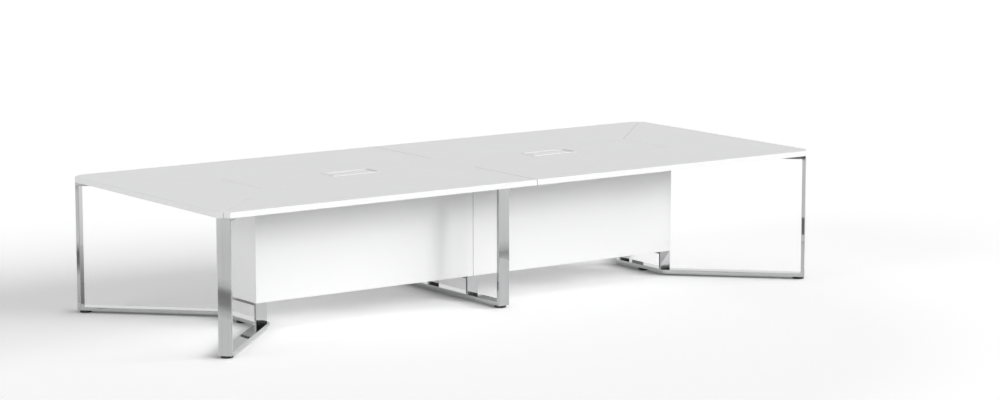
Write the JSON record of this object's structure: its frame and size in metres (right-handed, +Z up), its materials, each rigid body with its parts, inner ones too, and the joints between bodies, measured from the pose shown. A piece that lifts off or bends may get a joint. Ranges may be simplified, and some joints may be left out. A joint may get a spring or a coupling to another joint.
{
  "type": "meeting table",
  "caption": "Large rectangular meeting table with cut corners, a hollow cable spine with hinged flaps, and chromed flat-tube legs on levelling feet.",
  "frame": {"origin": "on the floor under the middle of the top", "axes": "+X along the table's length, +Y across it, away from the front edge, +Z up"},
  "size_m": [3.88, 1.58, 0.743],
  "materials": {
    "top_board": "white melamine-faced board, fine satin",
    "spine_board": "white melamine-faced board, fine satin",
    "chromed_tube": "bright chrome plate on steel tube",
    "flap_frame": "white powder coat on aluminium",
    "flap_lid": "white powder coat on aluminium",
    "rod_steel": "drawn bright rod",
    "bracket_steel": "white paint on steel angle",
    "insert_steel": "zinc plate",
    "foot_plastic": "black moulded disc on a steel stud"
  },
  "bodies": {
    "table": {"arm_back_left": "chromed_tube", "arm_back_right": "chromed_tube", "arm_front_left": "chromed_tube", "arm_front_right": "chromed_tube", "beam_middle": "chromed_tube", "carrier_bar_left": "chromed_tube", "carrier_bar_middle": "chromed_tube", "carrier_bar_right": "chromed_tube", "crossbar_left": "chromed_tube", "crossbar_right": "chromed_tube", "flap_frame_left": "flap_frame", "flap_frame_right": "flap_frame", "foot_inserts": "insert_steel", "panel_back_left": "spine_board", "panel_back_right": "spine_board", "panel_end_left": "spine_board", "panel_end_right": "spine_board", "panel_front_left": "spine_board", "panel_front_right": "spine_board", "post_back_left": "chromed_tube", "post_back_middle": "chromed_tube", "post_back_right": "chromed_tube", "post_front_left": "chromed_tube", "post_front_middle": "chromed_tube", "post_front_right": "chromed_tube", "rail_back_left": "chromed_tube", "rail_back_middle": "chromed_tube", "rail_back_right": "chromed_tube", "rail_front_left": "chromed_tube", "rail_front_middle": "chromed_tube", "rail_front_right": "chromed_tube", "spine_base": "spine_board", "spine_bulkhead": "spine_board", "top_back_left": "top_board", "top_back_right": "top_board", "top_brackets": "bracket_steel", "top_end_left": "top_board", "top_end_right": "top_board", "top_front_left": "top_board", "top_front_right": "top_board", "top_strip": "top_board", "upright_back_left": "chromed_tube", "upright_back_middle": "chromed_tube", "upright_back_right": "chromed_tube", "upright_front_left": "chromed_tube", "upright_front_middle": "chromed_tube", "upright_front_right": "chromed_tube"},
    "flap_left": {"flap_lid_left": "flap_lid", "flap_rod_left": "rod_steel"},
    "flap_right": {"flap_lid_right": "flap_lid", "flap_rod_right": "rod_steel"},
    "foot_back_left": {"foot_back_left": "foot_plastic"},
    "foot_back_middle": {"foot_back_middle": "foot_plastic"},
    "foot_back_right": {"foot_back_right": "foot_plastic"},
    "foot_end_left": {"foot_end_left": "foot_plastic"},
    "foot_end_right": {"foot_end_right": "foot_plastic"},
    "foot_front_left": {"foot_front_left": "foot_plastic"},
    "foot_front_middle": {"foot_front_middle": "foot_plastic"},
    "foot_front_right": {"foot_front_right": "foot_plastic"}
  },
  "joints": [
    {"name": "flap_left_hinge", "type": "hinge", "parent": "table", "child": "flap_left", "pos_m": [-0.665, 0.0522, 0.736], "axis": [-1, 0, 0], "range_deg": [0, 95]},
    {"name": "flap_right_hinge", "type": "hinge", "parent": "table", "child": "flap_right", "pos_m": [0.665, 0.0522, 0.736], "axis": [-1, 0, 0], "range_deg": [0, 95]},
    {"name": "foot_back_left_height", "type": "slide", "parent": "table", "child": "foot_back_left", "axis": [0, 0, -1], "range_m": [0, 0.01]},
    {"name": "foot_back_middle_height", "type": "slide", "parent": "table", "child": "foot_back_middle", "axis": [0, 0, -1], "range_m": [0, 0.01]},
    {"name": "foot_back_right_height", "type": "slide", "parent": "table", "child": "foot_back_right", "axis": [0, 0, -1], "range_m": [0, 0.01]},
    {"name": "foot_end_left_height", "type": "slide", "parent": "table", "child": "foot_end_left", "axis": [0, 0, -1], "range_m": [0, 0.01]},
    {"name": "foot_end_right_height", "type": "slide", "parent": "table", "child": "foot_end_right", "axis": [0, 0, -1], "range_m": [0, 0.01]},
    {"name": "foot_front_left_height", "type": "slide", "parent": "table", "child": "foot_front_left", "axis": [0, 0, -1], "range_m": [0, 0.01]},
    {"name": "foot_front_middle_height", "type": "slide", "parent": "table", "child": "foot_front_middle", "axis": [0, 0, -1], "range_m": [0, 0.01]},
    {"name": "foot_front_right_height", "type": "slide", "parent": "table", "child": "foot_front_right", "axis": [0, 0, -1], "range_m": [0, 0.01]}
  ]
}
